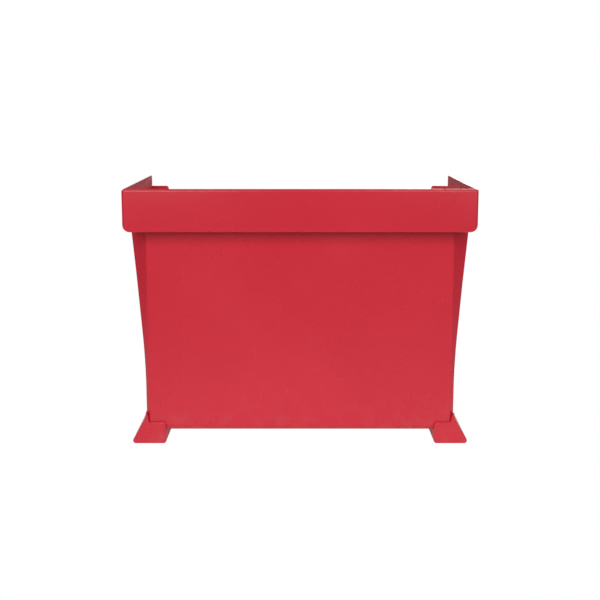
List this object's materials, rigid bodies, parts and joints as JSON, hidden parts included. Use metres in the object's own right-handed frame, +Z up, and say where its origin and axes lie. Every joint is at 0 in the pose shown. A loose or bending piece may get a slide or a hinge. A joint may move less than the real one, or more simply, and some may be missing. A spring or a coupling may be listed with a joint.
{
  "type": "newspaper vending box",
  "caption": "Low coin-operated newspaper vending box: flared moulded cabinet on two runners, a raised hood with a sloping windowed lid, and a coin housing in front.",
  "frame": {"origin": "on the ground, under the centre of the whole box's bounding box", "axes": "+Z up; -Y towards the customer, so the plain rear panel faces +Y; +X to the customer's right"},
  "size_m": [0.6, 0.434, 0.453],
  "materials": {
    "red_moulding": "satin moulded, through-coloured red",
    "black_moulding": "fine-grained black moulding",
    "black_rubber": "matt rubber",
    "grey_iron": "grey primer on iron",
    "zinc_steel": "bright zinc plating",
    "stainless": "brushed stainless",
    "galvanised_sheet": "galvanised sheet",
    "chrome": "polished",
    "brass": "satin",
    "cast_housing": "red powder coat",
    "clear_sheet": "clear polycarbonate sheet",
    "card": "blank printed card"
  },
  "bodies": {
    "cabinet": {"cabinet_shell": "red_moulding", "hood": "red_moulding", "hood_screws": "zinc_steel", "hood_nuts": "zinc_steel", "runner_right": "red_moulding", "runner_left": "red_moulding", "foot_pads": "black_rubber", "ballast_plate": "grey_iron", "runner_bolts": "zinc_steel", "runner_nuts": "zinc_steel", "paper_shelf": "galvanised_sheet", "shelf_edges": "galvanised_sheet", "shelf_legs": "galvanised_sheet", "shelf_screws": "zinc_steel", "front_panel": "red_moulding", "front_panel_screws": "stainless", "placard_frame": "black_moulding", "placard_card": "card", "placard_cover": "clear_sheet", "placard_rivets": "stainless", "lid_seal": "black_rubber", "hinge_leaves_hood": "stainless", "hinge_pins": "stainless", "hinge_screws_hood": "stainless", "coin_housing": "cast_housing", "housing_bolts": "zinc_steel", "housing_nuts": "zinc_steel", "coin_faceplate": "stainless", "faceplate_screws": "stainless", "return_spring": "zinc_steel", "spring_bracket": "galvanised_sheet", "coin_chute": "galvanised_sheet", "return_cup": "stainless", "latch_guide": "grey_iron", "cash_sleeve": "galvanised_sheet"},
    "lid": {"lid_frame": "red_moulding", "lid_window": "clear_sheet", "window_retainer": "black_moulding", "retainer_screws": "stainless", "hinge_leaves_lid": "stainless", "hinge_screws_lid": "stainless", "lid_handle": "black_moulding", "handle_screws": "stainless", "lid_strike": "zinc_steel", "strike_screws": "stainless"},
    "return_button_body": {"return_button": "chrome"},
    "return_flap_body": {"return_flap": "stainless"},
    "latch_bolt_body": {"latch_bolt": "zinc_steel"},
    "cash_drawer_body": {"cash_drawer": "cast_housing", "lock_barrel": "chrome"},
    "cash_lock_body": {"lock_plug": "brass", "lock_cam": "zinc_steel"}
  },
  "joints": [
    {"name": "lid_hinge", "type": "hinge", "parent": "cabinet", "child": "lid", "pos_m": [0, 0.18785, 0.4434], "axis": [-1, 0, 0], "range_deg": [0, 75]},
    {"name": "return_button_press", "type": "slide", "parent": "cabinet", "child": "return_button_body", "axis": [0, 1, 0], "range_m": [0, 0.005], "stiffness_N_per_m": 250, "springref_m": -0.004, "deforming": ["return_spring"]},
    {"name": "return_flap_hinge", "type": "hinge", "parent": "cabinet", "child": "return_flap_body", "pos_m": [0.187, -0.199, 0.247], "axis": [1, 0, 0], "range_deg": [0, 60], "stiffness_Nm_per_rad": 0.01, "springref_deg": -28.65},
    {"name": "latch_bolt_slide", "type": "slide", "parent": "cabinet", "child": "latch_bolt_body", "axis": [-1, 0, 0], "range_m": [0, 0.012]},
    {"name": "cash_drawer_slide", "type": "slide", "parent": "cabinet", "child": "cash_drawer_body", "axis": [0, -1, 0], "range_m": [0, 0.055]},
    {"name": "cash_lock_turn", "type": "hinge", "parent": "cash_drawer_body", "child": "cash_lock_body", "pos_m": [0.175, -0.2064, 0.182], "axis": [0, -1, 0], "range_deg": [0, 90]}
  ]
}
